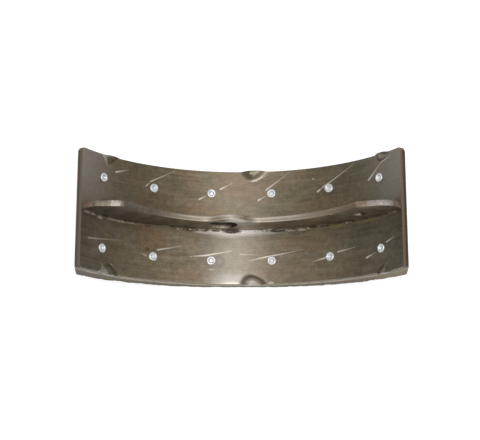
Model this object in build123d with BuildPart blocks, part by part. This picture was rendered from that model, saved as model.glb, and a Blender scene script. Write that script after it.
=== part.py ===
"""Riveted drum-brake shoe: a rolled table, a crescent web welded to its middle, one lining and its rivets.

Millimetres. The drum's axis runs along Y, above the shoe. Z = 0 is the lowest point of the lining,
which is the shoe's middle, and Y = 0 is the middle of the web.
"""

import os
from math import cos, radians, sin, tan

from build123d import *

# Drum and lining
drum_radius = 160.0  # friction face
lining_thickness = 14.5
lining_side_reach = 1.0  # past each rim of the table
lining_end_reach = 1.0  # past each end of the table
lining_end_slant = 8.0  # degrees by which each end leans outwards, from the table down to the drum
lining_corner = 2.5

# Table: the rolled platform that carries the lining
table_thickness = 4.0
table_width = 97.0
table_half_angle = 62.0
table_corner = 2.5

# Nibs: six pressings in the table's rims, which slide on the backing plate
nib_angles = (-48.2, 4.0, 53.0)
nib_width = 22.0
nib_depth = 8.5
nib_height = 3.0
nib_lead = 0.4  # how far a nib stands out past the lining's side
nib_skew = -2.0  # a nib's point lies off its middle by this
nib_overrun = 4.0  # the punch's own length past the rim

# Web: the upright crescent plate
web_thickness = 4.8
web_depth = 27.8  # over the table, at the middle
web_inner_radius = 99.6
lobe_x = -9.0
lobe_height = 22.0  # lobe's centre over the table's middle
lobe_radius = 18.0
lobe_blend = 12.0
web_edge_break = 0.5

# Web ends: a flat pad at one end, a crowned one at the other
flat_pad_height = 85.3  # over the table's middle
flat_pad_outer_x = 114.0
crown_inner_height = 81.5
crown_top = (108.0, 87.8)
crown_outer = (119.0, 86.0)
pad_blend = 3.0

# Holes in the web, placed from the table's middle
hold_down_radius = 11.8
hold_down_at = (-15.3, 19.9)
spring_hole_radius = 5.0
spring_hole_at = (93.5, 59.0)

# Reliefs between the welded feet of the web: angle and length of each
relief_depth = 4.5
reliefs = ((-27.0, 10.5), (-17.9, 15.0), (-3.2, 15.5), (12.3, 16.0), (21.2, 10.5), (29.0, 13.5), (37.8, 10.0))

# Semi-tubular rivets
rivet_pitch = 20.7  # degrees
rivets_per_row = 6
rivet_row_y = 29.0
rivet_body_radius = 2.5
rivet_bore_radius = 1.5
rivet_bore_depth = 0.5  # what the clinch leaves of it, under the table's face
rivet_head_radius = 5.0
rivet_head_thickness = 1.3
roll_radius = 3.75  # clinched end
roll_height = 1.2
roll_round = 0.6
roll_seat = 0.05  # the flat clinch on the hollow face of the table
rivet_clearance = 0.1
counterbore_radius = 5.6
counterbore_depth = 8.5

# How near an edge or a corner has to be to the size or the place that it is chosen by
pick_tolerance = 0.01
corner_zone = 1.0

# Worked out from the values above
table_outer_radius = drum_radius - lining_thickness
table_inner_radius = table_outer_radius - table_thickness
table_floor = drum_radius - table_inner_radius  # height of the table's inner face at its middle
axis_z = drum_radius
rim_y = table_width / 2
lining_side_y = rim_y + lining_side_reach
lining_end_x = table_outer_radius * sin(radians(table_half_angle)) + lining_end_reach
lining_end_z = axis_z - (table_outer_radius**2 - lining_end_x**2) ** 0.5  # top of the lining's end
lining_foot_x = lining_end_x + lining_end_z * tan(radians(lining_end_slant))  # the end's line run down to Z = 0
nib_reach = lining_side_reach + nib_lead
nib_length = nib_depth + nib_reach
nib_slope = nib_height / nib_length
nib_cone_radius = ((nib_width / 2) ** 2 + nib_height**2) / (2 * nib_height)  # arc through a nib's foot and crest


def around_drum(radius, angle, y=0.0):
    """A point at a radius from the drum's axis; angle 0 is the shoe's middle and grows towards +X."""
    turn = radians(angle)
    return (radius * sin(turn), y, axis_z - radius * cos(turn))


def in_profile(radius, angle):
    """The same point in the XZ profile's own two coordinates."""
    x, _, z = around_drum(radius, angle)
    return (x, z)


def outward(angle):
    """Direction away from the drum's axis, square to the lining."""
    x, _, z = around_drum(1.0, angle)
    return Vector(x, 0, z - axis_z)


rivet_angles = [(i - (rivets_per_row - 1) / 2) * rivet_pitch for i in range(rivets_per_row)]
rivet_places = [(angle, y) for angle in rivet_angles for y in (-rivet_row_y, rivet_row_y)]
clinch_planes = [
    Plane(origin=around_drum(table_inner_radius, angle, y), x_dir=(0, 1, 0), z_dir=-outward(angle))
    for angle, y in rivet_places
]
head_planes = [
    Plane(origin=around_drum(drum_radius, angle, y), x_dir=(0, 1, 0), z_dir=outward(angle))
    for angle, y in rivet_places
]


def nib_form(angle, side, sink):
    """The pressed form of one nib: a cone that rises out of the table from its point to its mouth, sunk by sink."""
    mouth_y = side * (rim_y + nib_reach)
    axis_radius = table_inner_radius + sink + nib_cone_radius - nib_height
    along = Vector(cos(radians(angle)), 0, sin(radians(angle)))
    run = (Vector(0, -side, 0) * nib_length + along * nib_skew).normalized()
    start = Vector(*around_drum(axis_radius, angle, mouth_y)) - run * nib_overrun
    with BuildPart() as form:
        with Locations(Plane(origin=start, z_dir=run)):
            Cone(
                nib_cone_radius + nib_slope * nib_overrun,
                nib_cone_radius - nib_height,
                nib_length + nib_overrun,
                align=(Align.CENTER, Align.CENTER, Align.MIN),
            )
        with Locations(Plane(origin=(0, 0, axis_z), z_dir=(0, 1, 0))):
            keep = table_inner_radius + sink + table_thickness / 2
            Cylinder(keep, 2 * (rim_y + nib_reach), mode=Mode.INTERSECT)
    return form.part


nib_places = [(angle, side) for angle in nib_angles for side in (-1, 1)]
nib_bulges = [nib_form(angle, side, 0.0) for angle, side in nib_places]
nib_hollows = [nib_form(angle, side, table_thickness) for angle, side in nib_places]

# Table
with BuildPart() as table:
    with BuildSketch(Plane.XZ):
        with BuildLine():
            start = -90 - table_half_angle
            inner = CenterArc((0, axis_z), table_inner_radius, start, 2 * table_half_angle)
            outer = CenterArc((0, axis_z), table_outer_radius, start, 2 * table_half_angle)
            Line(inner @ 0, outer @ 0)
            Line(inner @ 1, outer @ 1)
        make_face()
    extrude(amount=rim_y, both=True)
    corners = table.edges().filter_by(lambda e: abs(e.length - table_thickness) < pick_tolerance)
    fillet(corners, radius=table_corner)
    add(nib_bulges)
    add(nib_hollows, mode=Mode.SUBTRACT)
    with Locations(*clinch_planes):
        Hole(rivet_body_radius + rivet_clearance)
table.part.label = "table"

# Web
with BuildPart() as web:
    with BuildSketch(Plane.XZ) as web_profile:
        inner_axis_z = table_floor + web_depth + web_inner_radius
        with BuildLine():
            flat_z = table_floor + flat_pad_height
            crown_z = table_floor + crown_inner_height
            flat_x = (web_inner_radius**2 - (inner_axis_z - flat_z) ** 2) ** 0.5
            crown_x = (web_inner_radius**2 - (inner_axis_z - crown_z) ** 2) ** 0.5
            foot = CenterArc((0, axis_z), table_inner_radius, -90 - table_half_angle, 2 * table_half_angle)
            RadiusArc((-flat_x, flat_z), (crown_x, crown_z), -web_inner_radius)
            crown_end = (crown_outer[0], table_floor + crown_outer[1])
            ThreePointArc((crown_x, crown_z), (crown_top[0], table_floor + crown_top[1]), crown_end)
            Line(crown_end, foot @ 1)
            Polyline(foot @ 0, (-flat_pad_outer_x, flat_z), (-flat_x, flat_z))
        make_face()
        with Locations((lobe_x, table_floor + lobe_height)):
            Circle(lobe_radius)
        lobe_roots = web_profile.vertices().filter_by(
            lambda v: abs(v.X - lobe_x) < lobe_radius + corner_zone and v.Y > table_floor + lobe_height
        )
        fillet(lobe_roots, radius=lobe_blend)
        pad_corners = web_profile.vertices().filter_by(
            lambda v: v.Y > crown_z - corner_zone and abs(v.X) < crown_outer[0] + corner_zone
        )
        fillet(pad_corners, radius=pad_blend)
        with Locations((hold_down_at[0], table_floor + hold_down_at[1])):
            Circle(hold_down_radius, mode=Mode.SUBTRACT)
        with Locations((spring_hole_at[0], table_floor + spring_hole_at[1])):
            Circle(spring_hole_radius, mode=Mode.SUBTRACT)
        for angle, length in reliefs:
            with Locations(Location((*in_profile(table_inner_radius, angle), 0), (0, 0, angle))):
                SlotOverall(length, 2 * relief_depth, mode=Mode.SUBTRACT)
    extrude(amount=web_thickness / 2, both=True)
    holes = web.edges().filter_by(GeomType.CIRCLE).filter_by(lambda e: e.is_closed)
    rims = web.edges().filter_by(Axis.Y, reverse=True) - holes
    foot_reach = table_inner_radius - relief_depth - web_edge_break
    bare_rims = rims.filter_by(lambda e: (e.center() - Vector(0, e.center().Y, axis_z)).length < foot_reach)
    chamfer(bare_rims.filter_by(lambda e: abs(abs(e.center().Y) - web_thickness / 2) < pick_tolerance), web_edge_break)
web.part.label = "web"

# Lining
with BuildPart() as lining:
    with BuildSketch(Plane.XZ):
        with Locations((0, axis_z)):
            Circle(drum_radius)
            Circle(table_outer_radius, mode=Mode.SUBTRACT)
        with Locations((0, axis_z / 2)):
            Trapezoid(2 * lining_foot_x, axis_z, 90 - lining_end_slant, mode=Mode.INTERSECT)
    extrude(amount=lining_side_y, both=True)
    end_edges = lining.edges().filter_by(GeomType.LINE).filter_by(lambda e: abs((e % 0.5).Z) > 0.5)
    fillet(end_edges, radius=lining_corner)
    with Locations(*head_planes):
        CounterBoreHole(rivet_body_radius + rivet_clearance, counterbore_radius, counterbore_depth)
lining.part.label = "lining"

# Rivets
head_seat = table_inner_radius - (drum_radius - counterbore_depth)  # below the table's inner face
head_low = head_seat - rivet_head_thickness
roll_top = roll_seat + roll_height
with BuildPart() as rivet:
    with BuildSketch(Plane.XZ):
        with BuildLine():
            Polyline(
                (0, -rivet_bore_depth),
                (0, head_low),
                (rivet_head_radius, head_low),
                (rivet_head_radius, head_seat),
                (rivet_body_radius, head_seat),
                (rivet_body_radius, roll_seat),
                (roll_radius, roll_seat),
                (roll_radius, roll_top - roll_round),
                (roll_radius - roll_round, roll_top),
                (rivet_bore_radius, roll_seat),
                (rivet_bore_radius, -rivet_bore_depth),
                close=True,
            )
        make_face()
    revolve(axis=Axis.Z)
with BuildPart() as rivets:
    with Locations(*clinch_planes):
        add(rivet.part)
rivets.part.label = "rivets"

os.makedirs("parts", exist_ok=True)
for piece in (table, web, lining, rivets):
    export_step(piece.part, f"parts/{piece.part.label}.step")
    print(piece.part.label, "volume", round(piece.part.volume), "mm3, solids", len(piece.part.solids()))
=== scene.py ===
# %% [markdown]
# # A riveted drum-brake shoe
# A brake shoe has four kinds of piece: a rolled steel table, a web welded on edge along its middle, a
# lining of moulded friction material outside, and the rivets that hold the lining to the table.
# It lies here on its lining, hollow side up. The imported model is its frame, and lengths are in metres.

# %% Load the fixed frame
import math
from functools import reduce

import bmesh
import bpy
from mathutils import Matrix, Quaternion, Vector, noise


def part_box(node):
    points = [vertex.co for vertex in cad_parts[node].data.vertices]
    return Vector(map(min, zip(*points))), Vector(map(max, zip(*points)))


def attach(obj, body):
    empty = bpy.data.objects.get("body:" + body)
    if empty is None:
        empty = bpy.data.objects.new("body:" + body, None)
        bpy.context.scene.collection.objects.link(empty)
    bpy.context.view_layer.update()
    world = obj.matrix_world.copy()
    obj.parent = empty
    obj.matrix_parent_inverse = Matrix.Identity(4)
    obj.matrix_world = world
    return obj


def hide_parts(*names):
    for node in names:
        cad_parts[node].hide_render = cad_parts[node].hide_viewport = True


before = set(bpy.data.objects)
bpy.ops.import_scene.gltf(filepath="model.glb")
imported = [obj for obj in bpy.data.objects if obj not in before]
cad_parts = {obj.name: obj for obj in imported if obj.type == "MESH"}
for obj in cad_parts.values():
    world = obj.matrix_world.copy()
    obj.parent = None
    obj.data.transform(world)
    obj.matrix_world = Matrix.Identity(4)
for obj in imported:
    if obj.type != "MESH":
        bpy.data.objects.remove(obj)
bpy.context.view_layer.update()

print("frame nodes:", sorted(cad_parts))

# %% [markdown]
# ## The drum's own coordinates
# Everything in a shoe is concentric with the drum. So a point is easiest to give by its radius and its
# angle from the shoe's middle, with Y along the drum's axis. The driving sizes are those of the part.

# %% Sizes and the round frame
mm = 0.001
drum_radius = 160 * mm
axis_height = drum_radius
_, lining_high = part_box("lining")
_, table_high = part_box("table")
web_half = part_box("web")[1].y

lining_inner_radius = 145.5 * mm
table_inner_radius = 141.5 * mm
table_thickness = lining_inner_radius - table_inner_radius
table_floor = axis_height - table_inner_radius
table_half_angle = math.radians(62.4)
table_half_arc = table_inner_radius * table_half_angle
rim_y = 48.5 * mm
nib_reach = table_high.y - rim_y


def on_drum(radius, angle, y=0.0):
    """The point at a radius from the drum's axis; angle 0 is the shoe's middle and grows towards +X."""
    return Vector((radius * math.sin(angle), y, axis_height - radius * math.cos(angle)))


def smooth(value):
    """Eases a number from 0 to 1, with no corner at either end."""
    share = max(0.0, min(1.0, value))
    return share * share * (3 - 2 * share)


print(f"table arc {2 * table_half_arc / mm:.1f} mm, floor {table_floor / mm:.1f} mm over the lining's foot")

# %% [markdown]
# ## Meshes that are grids
# A rolled strip and a moulded block are both a box bent round the axis. One helper makes either: it
# numbers the corners of a box of cells, keeps those on the outside and asks a function where each lies.
# The same function can then press a nib or chip an edge, which a plain bend modifier could not.

# %% Helpers for meshes
def graded(low, high, centres, reach, fine, coarse):
    """Places from low to high: close together within reach of the centres, wider apart elsewhere."""
    places = [low]
    while places[-1] < high - fine / 2:
        near = min(abs(places[-1] - centre) for centre in centres)
        places.append(min(high, places[-1] + (fine if near < reach else coarse)))
    places[-1] = high
    return places


def rounded_ends(middle, end, radius, steps=10):
    """Adds to a list of places those that follow a round corner out to each end."""
    turns = [math.radians(90) * (i + 1) / steps for i in range(steps)]
    outer = [end - radius * (1 - math.sin(turn)) for turn in turns]
    return [-place for place in reversed(outer)] + middle + outer


def half_width(place, end, full, radius):
    """Half the width of a strip with round corners, at a place along it."""
    into = max(0.0, min(radius, abs(place) - (end - radius)))
    return full - radius + math.sqrt(max(0.0, radius**2 - into**2))


def new_piece(name, shape):
    """A finished bmesh as an object at the origin, shaded smooth."""
    mesh = bpy.data.meshes.new(name)
    bmesh.ops.recalc_face_normals(shape, faces=shape.faces)
    shape.to_mesh(mesh)
    shape.free()
    mesh.shade_smooth()
    piece = bpy.data.objects.new(name, mesh)
    bpy.context.scene.collection.objects.link(piece)
    return piece


def bent_block(name, columns, rows, layers, place):
    """The outside of a box of cells; place(column, row, layer) says where a corner lies."""
    shape = bmesh.new()
    axes = (columns, rows, layers)
    corners = {}

    def corner(index):
        if index not in corners:
            corners[index] = shape.verts.new(place(*(axes[axis][index[axis]] for axis in range(3))))
        return corners[index]

    for fixed in range(3):
        first, second = (axis for axis in range(3) if axis != fixed)
        for end in (0, len(axes[fixed]) - 1):
            for a in range(len(axes[first]) - 1):
                for b in range(len(axes[second]) - 1):
                    ring = []
                    for step_a, step_b in ((0, 0), (1, 0), (1, 1), (0, 1)):
                        index = [end, end, end]
                        index[first] = a + step_a
                        index[second] = b + step_b
                        ring.append(corner(tuple(index)))
                    shape.faces.new(ring)
    return new_piece(name, shape)


def settle(piece, sharp_angle=None):
    """Turns a piece's modifiers into plain mesh, and keeps the edges over an angle crisp."""
    graph = bpy.context.evaluated_depsgraph_get()
    mesh = bpy.data.meshes.new_from_object(piece.evaluated_get(graph))
    piece.modifiers.clear()
    piece.data = mesh
    if sharp_angle:
        mesh.shade_smooth()
        mesh.set_sharp_from_angle(angle=math.radians(sharp_angle))
    print(piece.name, "has", sum(len(face.vertices) - 2 for face in mesh.polygons), "triangles")
    return piece


def ease_edges(piece, width):
    """Breaks a piece's sharp edges with a small round."""
    bevel = piece.modifiers.new("ease", "BEVEL")
    bevel.width = width
    bevel.segments = 2
    bevel.limit_method = "ANGLE"
    bevel.angle_limit = math.radians(50)
    return settle(piece)


def unroll(piece, radius):
    """Gives a piece a UV map in metres: along the arc at a radius, and across."""
    sheet = piece.data.uv_layers.get("sheet") or piece.data.uv_layers.new(name="sheet")
    vertices = piece.data.vertices
    for loop in piece.data.loops:
        at = vertices[loop.vertex_index].co
        sheet.data[loop.index].uv = (radius * math.atan2(at.x, axis_height - at.z), at.y)


# %% [markdown]
# ## Round holes for the rivets
# Twelve rivets stand in two rows of six, square to the drum. Both the table and the lining are drilled
# for them, the lining with a wide counterbore for the head. A Boolean modifier with one cutter made of
# twelve drills keeps each drilling a true cylinder.

# %% Rivet places and the drills
rivet_pitch = math.radians(20.7)
rivets_per_row = 6
rivet_row_y = 29 * mm
rivet_hole_radius = 2.6 * mm
drill_overrun = 2 * mm
counterbore_radius = 5.6 * mm
counterbore_floor = 151.5 * mm  # radius from the drum's axis
rivet_angles = [(i - (rivets_per_row - 1) / 2) * rivet_pitch for i in range(rivets_per_row)]


def drill(piece, steps, sharp_angle):
    """Cuts a hole of each (bore radius, from, to) at every rivet; from and to are radii from the axis."""
    shape = bmesh.new()
    for angle in rivet_angles:
        for y in (-rivet_row_y, rivet_row_y):
            for bore, start, stop in steps:
                sizes = {"radius1": bore, "radius2": bore, "depth": stop - start}
                made = bmesh.ops.create_cone(shape, cap_ends=True, segments=32, **sizes)
                turn = Quaternion((0, 1, 0), -angle)
                for vert in made["verts"]:
                    vert.co = turn @ vert.co + on_drum((start + stop) / 2, angle, y)
    cutter = new_piece("drills", shape)
    cut = piece.modifiers.new("drill", "BOOLEAN")
    cut.operation = "DIFFERENCE"
    cut.solver = "EXACT"
    cut.object = cutter
    cut.use_self = True
    settle(piece, sharp_angle)
    bpy.data.objects.remove(cutter)


print("rivets stand at", [round(math.degrees(angle), 1) for angle in rivet_angles], "degrees")

# %% [markdown]
# ## The table
# The table is a 4 mm strip rolled to the drum's curve. Three nibs are pressed up in each rim: these are
# the pads that slide on the backing plate. A nib is a half dome, steep at the back and open at the rim,
# so it is written as a height over the sheet: full inside an arched outline, eased to nothing past it.
# An arch of 2 is half an ellipse and of 1 a triangle; the wall is the share of the way in that slopes,
# and the reach is the share by which its mouth stands out past the rim.
# Both faces of the strip move together, which leaves the real hollow under each nib.

# %% Model the table
table_corner = 2.5 * mm
nib_spread = 1.3  # past this share of its reach a nib lifts nothing
mouth_ease = 0.6  # share of the way in over which the push on the rim fades
full_rise = 3 * mm
nibs = (
    # angle, side, half width, depth and height in millimetres, lean of the point, arch, wall, reach
    (-48.2, -1, 10.5, 9.5, 2.8, -3.0, 1.3, 0.75, 1.0),
    (4.2, -1, 12.8, 8.8, 3.0, -3.2, 1.6, 0.70, 1.0),
    (53.0, -1, 9.5, 7.5, 2.4, 1.5, 1.3, 0.80, 1.0),
    (-48.2, 1, 9.5, 9.4, 1.7, -4.8, 1.1, 0.90, 0.2),
    (4.5, 1, 13.0, 9.5, 2.6, -3.0, 1.4, 0.85, 0.5),
    (53.0, 1, 8.8, 7.8, 2.2, -1.0, 1.35, 0.80, 0.4),
)


def nib_rise(arc, y):
    """How far the nibs lift the sheet at a place, and the share by which they push its rim out."""
    rise = 0.0
    push = 0.0
    for angle, side, width, length, height, lean, arch, wall, reach in nibs:
        if y * side <= 0:
            continue
        depth = max(0.0, rim_y - abs(y)) / (length * mm)
        beside = abs(arc - table_inner_radius * math.radians(angle) - lean * mm * depth) / (width * mm)
        if max(beside, depth) > nib_spread:
            continue
        inside = 1 - (beside**arch + depth**arch) ** (1 / arch)
        rise = max(rise, height * mm * smooth(inside / wall))
        push = max(push, reach * smooth((1 - beside) / mouth_ease) * smooth(1 - depth / mouth_ease))
    return rise, push


def table_place(arc, across, layer):
    """A corner of the table's grid: along the arc, across from -1 to 1, layer 0 inside and 1 outside."""
    half = half_width(arc, table_half_arc, rim_y, table_corner)
    y = across * half
    rise, push = nib_rise(arc, y)
    radius = table_inner_radius + table_thickness * layer - rise
    return on_drum(radius, arc / table_inner_radius, y + math.copysign(nib_reach * push, y))


nib_arcs = [table_inner_radius * math.radians(nib[0]) for nib in nibs[:3]]
straight_end = table_half_arc - table_corner
fine_cell = 0.6 * mm
straight = graded(-straight_end, straight_end, nib_arcs, 15 * mm, fine_cell, 2.0 * mm)
table_columns = rounded_ends(straight, table_half_arc, table_corner)
table_rows = graded(-1.0, 1.0, (-1.0, 1.0), 0.3, fine_cell / rim_y, 2.4 * mm / rim_y)
table = bent_block("table_rolled", table_columns, table_rows, (0.0, 0.5, 1.0), table_place)
ease_edges(table, 0.45 * mm)
table_drill = (rivet_hole_radius, table_inner_radius - drill_overrun, lining_inner_radius + drill_overrun)
drill(table, [table_drill], sharp_angle=60)
unroll(table, table_inner_radius)
pressed = table.data.attributes.new("pressed", "FLOAT", "POINT")  # how far up a nib each point is
for vertex in table.data.vertices:
    at = vertex.co
    reach_y = math.copysign(min(abs(at.y), rim_y), at.y)
    rise = nib_rise(table_inner_radius * math.atan2(at.x, axis_height - at.z), reach_y)[0]
    pressed.data[vertex.index].value = rise / full_rise
print("table grid:", len(table_columns), "by", len(table_rows))

# %% [markdown]
# ## The lining
# The lining is a thick moulded block, ground to the drum's radius, with two flat ends that lean out a
# little. Its grid is spaced along X, and each layer is stretched to meet the end's line at its own radius.
# Wear draws the sides in towards the drum at the middle, they flare a little at the ends, and noise eats
# a little off the edges.

# %% Model the lining
lining_end_x = table_high.x + 1.0 * mm  # at the inner face
lining_side_y = lining_high.y
lining_end_slant = math.radians(5)
lining_corner = 5 * mm  # at the far side, which is the more worn
near_corner = 1.2 * mm
lining_wear = 0.35 * mm
edge_chip = 0.5 * mm
side_draw = 1.2 * mm
draw_reach = 100 * mm  # from the middle
side_flare = 0.35 * mm
flare_start = 80 * mm
flare_reach = 30 * mm
wear_grains = (90, 400)  # per metre
chip_grains = 230


def end_reach(radius):
    """How far the lining's end lies from the shoe's middle, on an arc of a radius about the drum's axis."""
    top = axis_height - math.sqrt(lining_inner_radius**2 - lining_end_x**2)
    reach = lining_end_x
    for _ in range(20):
        height = axis_height - math.sqrt(radius**2 - reach**2)
        reach = lining_end_x + (top - height) * math.tan(lining_end_slant)
    return reach


def lining_place(x, across, layer):
    """A corner of the lining's grid: x along the shoe, across from -1 to 1, layer 0 inside and 1 outside."""
    radius = lining_inner_radius + (drum_radius - lining_inner_radius) * layer
    drawn = side_draw * smooth(1 - abs(x) / draw_reach)
    drawn -= side_flare * smooth((abs(x) - flare_start) / flare_reach)
    corner = near_corner if across < 0 else lining_corner
    y = across * (half_width(x, lining_end_x, lining_side_y, corner) - drawn * layer)
    at = on_drum(radius, math.asin(x * end_reach(radius) / (lining_end_x * radius)), y)
    rough = sum(noise.noise(at * grains) * 0.5 for grains in wear_grains)
    sides = abs(across) > 0.999
    low_edge = layer > 0.999
    if sides:
        at.y -= math.copysign(lining_wear * smooth(0.5 + rough), y)
    if sides and low_edge:
        at.y -= math.copysign(edge_chip * smooth(2.4 * noise.noise(at * chip_grains)), y)
    return at


lining_straight = lining_end_x - lining_corner
straight = graded(-lining_straight, lining_straight, (0.0,), 1.0, 1.6 * mm, 1.6 * mm)
lining_columns = rounded_ends(straight, lining_end_x, lining_corner)
lining_rows = graded(-1.0, 1.0, (-1.0, 1.0), 0.1, 1.2 * mm / lining_side_y, 4.5 * mm / lining_side_y)
lining_layers = [i / 8 for i in range(9)]
lining = bent_block("lining_block", lining_columns, lining_rows, lining_layers, lining_place)
ease_edges(lining, 0.5 * mm)
lining_drills = (
    (rivet_hole_radius, lining_inner_radius - drill_overrun, counterbore_floor + 1 * mm),
    (counterbore_radius, counterbore_floor, drum_radius + drill_overrun),
)
drill(lining, lining_drills, sharp_angle=40)
unroll(lining, drum_radius)
print("lining grid:", len(lining_columns), "by", len(lining_rows))

# %% [markdown]
# ## The web
# The web is cut from plate, so it is an outline with holes, given a thickness and a broken edge. The
# outline is walked once round: pad, inner curve, lobe, inner curve, crown, and back along the feet with
# their reliefs. All curves are arcs from the part's own radii, laid as short chords.

# %% Arcs for the web's outline
chord = 1.2 * mm


def on_circle(centre, radius, angle):
    """The point of a circle at an angle, in the web's own plane."""
    return Vector((centre.x + radius * math.cos(angle), centre.y + radius * math.sin(angle)))


def arc(centre, start, stop, turn):
    """Points along a circle from start to stop; turn is 1 for counter-clockwise and -1 for clockwise."""
    radius = (start - centre).length
    first = math.atan2(start.y - centre.y, start.x - centre.x)
    last = math.atan2(stop.y - centre.y, stop.x - centre.x)
    sweep = (last - first) * turn % math.tau
    steps = max(6, math.ceil(radius * sweep / chord))
    return [on_circle(centre, radius, first + turn * sweep * i / steps) for i in range(steps + 1)]


def crossing(centre_a, radius_a, centre_b, radius_b, side):
    """Where two circles cross, on one side of the line between their centres."""
    between = centre_b - centre_a
    apart = between.length
    along = (apart**2 + radius_a**2 - radius_b**2) / (2 * apart)
    aside = math.sqrt(radius_a**2 - along**2)
    forward = between / apart
    return centre_a + forward * along + Vector((-forward.y, forward.x)) * aside * side


def corner_arc(point, before, after, radius, turn):
    """A round corner at a point, tangent to the directions towards the points before and after it."""
    back = (before - point).normalized()
    ahead = (after - point).normalized()
    half = math.acos(max(-1.0, min(1.0, back.dot(ahead)))) / 2
    centre = point + (back + ahead).normalized() * radius / math.sin(half)
    reach = radius / math.tan(half)
    return arc(centre, point + back * reach, point + ahead * reach, turn)


# %% [markdown]
# The plate itself is built in rings: each outline is set in a little at the two faces and full between
# them, which gives the broken edge, and the faces are filled between the innermost rings.

# %% Build a plate from outlines
def set_in(loop, amount):
    """A closed outline moved to its left by an amount."""
    moved = []
    for i, point in enumerate(loop):
        along = (loop[(i + 1) % len(loop)] - loop[i - 1]).normalized()
        moved.append(point + Vector((-along.y, along.x)) * amount)
    return moved


def signed_area(loop):
    return sum(a.x * b.y - b.x * a.y for a, b in zip(loop, loop[1:] + loop[:1])) / 2


def plate(name, outline, holes, half, edge):
    """A flat plate in the XZ plane with round edges: material lies to the left of every loop."""
    rings = ((edge, half), (0.3 * edge, half - 0.3 * edge), (0.0, half - edge))
    rings = rings + tuple((inset, -y) for inset, y in reversed(rings))
    shape = bmesh.new()
    face_edges = {0: [], len(rings) - 1: []}
    loops = [outline if signed_area(outline) > 0 else outline[::-1]]
    loops += [hole if signed_area(hole) < 0 else hole[::-1] for hole in holes]
    for loop in loops:
        made = []
        for inset, y in rings:
            made.append([shape.verts.new((point.x, -y, point.y)) for point in set_in(loop, inset)])
        for upper, lower in zip(made, made[1:]):
            for i in range(len(loop)):
                shape.faces.new((upper[i - 1], upper[i], lower[i], lower[i - 1]))
        for side, edges in face_edges.items():
            edges += [shape.edges.get((made[side][i - 1], made[side][i])) for i in range(len(loop))]
    for edges in face_edges.values():
        bmesh.ops.triangle_fill(shape, use_beauty=True, edges=edges)
    return new_piece(name, shape)


# %% Model the web
web_inner_radius = 99.6 * mm
web_depth = 27.8 * mm
curve_centre = Vector((0, table_floor + web_depth + web_inner_radius))
lobe_centre = Vector((-9 * mm, table_floor + 22 * mm))
lobe_radius = 18 * mm
lobe_blend = 12 * mm
pad_blend = 3 * mm
pad_height = table_floor + 85.3 * mm
pad_outer_x = 114 * mm
crown_foot = table_floor + 81.5 * mm
crown_top = Vector((108 * mm, table_floor + 87.8 * mm))
crown_outer = Vector((119 * mm, table_floor + 86 * mm))
hold_down_centre = Vector((-15.3 * mm, table_floor + 19.9 * mm))
hold_down_radius = 11.8 * mm
spring_hole_centre = Vector((93.5 * mm, table_floor + 59 * mm))
spring_hole_radius = 5 * mm
relief_depth = 4.5 * mm
reliefs = ((-27.0, 10.5), (-17.9, 15.0), (-3.2, 15.5), (12.3, 16.0), (21.2, 10.5), (29.0, 13.5), (37.8, 10.0))
web_edge = 0.5 * mm
corner_turn = 0.03  # radians of the inner curve left to each pad's corner
relief_steps = 8


def foot_point(angle, height=0.0):
    """A point of the web's foot line, in the web's plane, or over it by a height."""
    at = on_drum(table_inner_radius - height, angle)
    return Vector((at.x, at.z))


def feet():
    """The foot line from the right end to the left, up and over each relief."""
    line = []
    angle = table_half_angle
    stops = sorted(reliefs, reverse=True) + [(-math.degrees(table_half_angle), 0.0)]
    for middle, length in stops:
        relief_angle = math.radians(middle)
        half = length * mm / 2
        stop = relief_angle + half / table_inner_radius
        count = max(1, round((angle - stop) * table_inner_radius / (2 * chord)))
        line += [foot_point(angle + (stop - angle) * i / count) for i in range(count + 1)]
        if length:
            for side in (1, -1):
                centre = side * (half - relief_depth)
                for i in range(relief_steps + 1):
                    turn = math.radians(90) * (i / relief_steps + (side < 0))
                    along = centre + relief_depth * math.cos(turn)
                    height = relief_depth * math.sin(turn)
                    line.append(foot_point(relief_angle + along / table_inner_radius, height))
        angle = relief_angle - half / table_inner_radius
    return line


def web_outline():
    """The web's outer outline, walked from the flat pad along the inner curve and back by the feet."""
    pad_inner = Vector((-math.sqrt(web_inner_radius**2 - (curve_centre.y - pad_height) ** 2), pad_height))
    crown_inner = Vector((math.sqrt(web_inner_radius**2 - (curve_centre.y - crown_foot) ** 2), crown_foot))
    pad_outer = Vector((-pad_outer_x, pad_height))
    blends = []
    blend_orbit = web_inner_radius - lobe_blend
    for side in (-1, 1):
        blend = crossing(curve_centre, blend_orbit, lobe_centre, lobe_radius + lobe_blend, side)
        on_curve = curve_centre + (blend - curve_centre).normalized() * web_inner_radius
        on_lobe = lobe_centre + (blend - lobe_centre).normalized() * lobe_radius
        blends.append((blend, on_curve, on_lobe))
    left, right = blends
    start_angle = math.atan2(pad_inner.y - curve_centre.y, pad_inner.x) + corner_turn
    stop_angle = math.atan2(crown_inner.y - curve_centre.y, crown_inner.x) - corner_turn
    curve_start = on_circle(curve_centre, web_inner_radius, start_angle)
    curve_stop = on_circle(curve_centre, web_inner_radius, stop_angle)
    line = corner_arc(pad_outer, foot_point(-table_half_angle), pad_inner, pad_blend, -1)
    line += corner_arc(pad_inner, pad_outer, curve_start, pad_blend, -1)
    line += arc(curve_centre, curve_start, left[1], 1)
    line += arc(left[0], left[1], left[2], 1)[1:]
    line += arc(lobe_centre, left[2], right[2], -1)[1:]
    line += arc(right[0], right[2], right[1], 1)[1:]
    line += arc(curve_centre, right[1], curve_stop, 1)[1:]
    line += corner_arc(crown_inner, curve_stop, crown_top, pad_blend, -1)
    line += corner_arc(crown_top, crown_inner, crown_outer, 3 * pad_blend, -1)
    line += corner_arc(crown_outer, crown_top, foot_point(table_half_angle), pad_blend, -1)
    return line + feet()


def hole(centre, radius, sides=48):
    return [on_circle(centre, radius, math.tau * i / sides) for i in range(sides)]


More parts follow.
